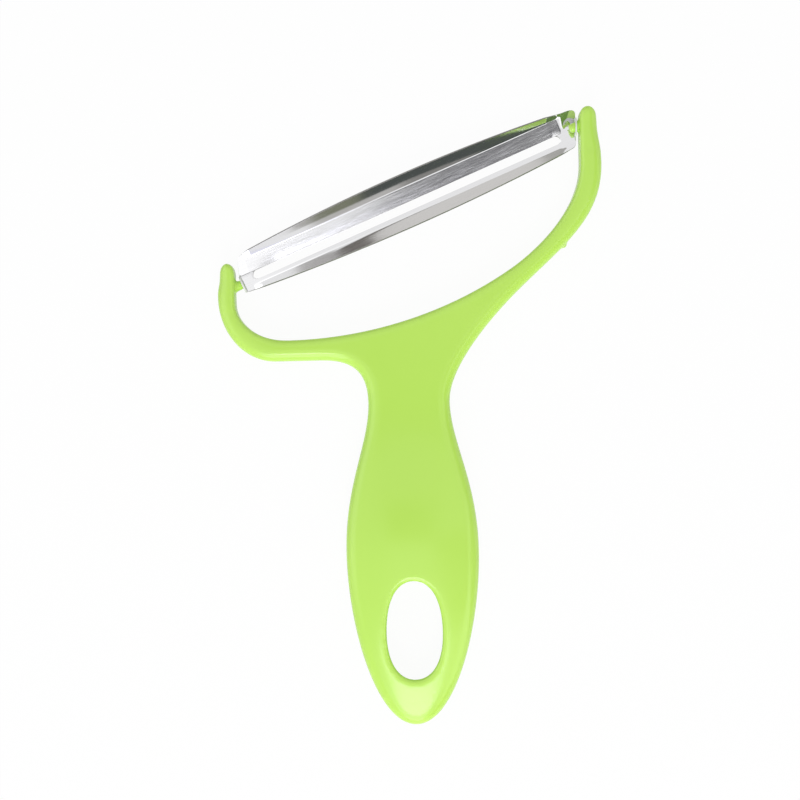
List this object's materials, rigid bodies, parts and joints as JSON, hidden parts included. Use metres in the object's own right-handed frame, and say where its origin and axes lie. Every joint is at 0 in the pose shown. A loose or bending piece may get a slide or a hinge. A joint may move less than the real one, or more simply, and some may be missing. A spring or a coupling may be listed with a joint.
{
  "type": "cabbage slicer",
  "caption": "Handheld cabbage slicer with a one-piece moulded plastic handle and a wide slotted steel blade that swivels between the arms of a skewed fork.",
  "frame": {"origin": "middle of the bottom of the bounding box; the flat back of the handle lies on the plane z = 0", "axes": "+X to the right across the grip, +Y from the round end of the grip to the blade, +Z out of the front"},
  "size_m": [0.122, 0.1938, 0.013],
  "materials": {
    "moulded_plastic": "semi-gloss lime green moulding",
    "stainless_steel": "bright pressed sheet with a matte ground bevel"
  },
  "bodies": {
    "handle": {"handle": "moulded_plastic"},
    "blade": {"blade": "stainless_steel"}
  },
  "joints": [
    {"name": "blade_swivel", "type": "hinge", "parent": "handle", "child": "blade", "pos_m": [-0.00065, 0.06675, 0.0059], "axis": [0.9143, 0.4051, 0], "range_deg": [-27, 32]}
  ]
}
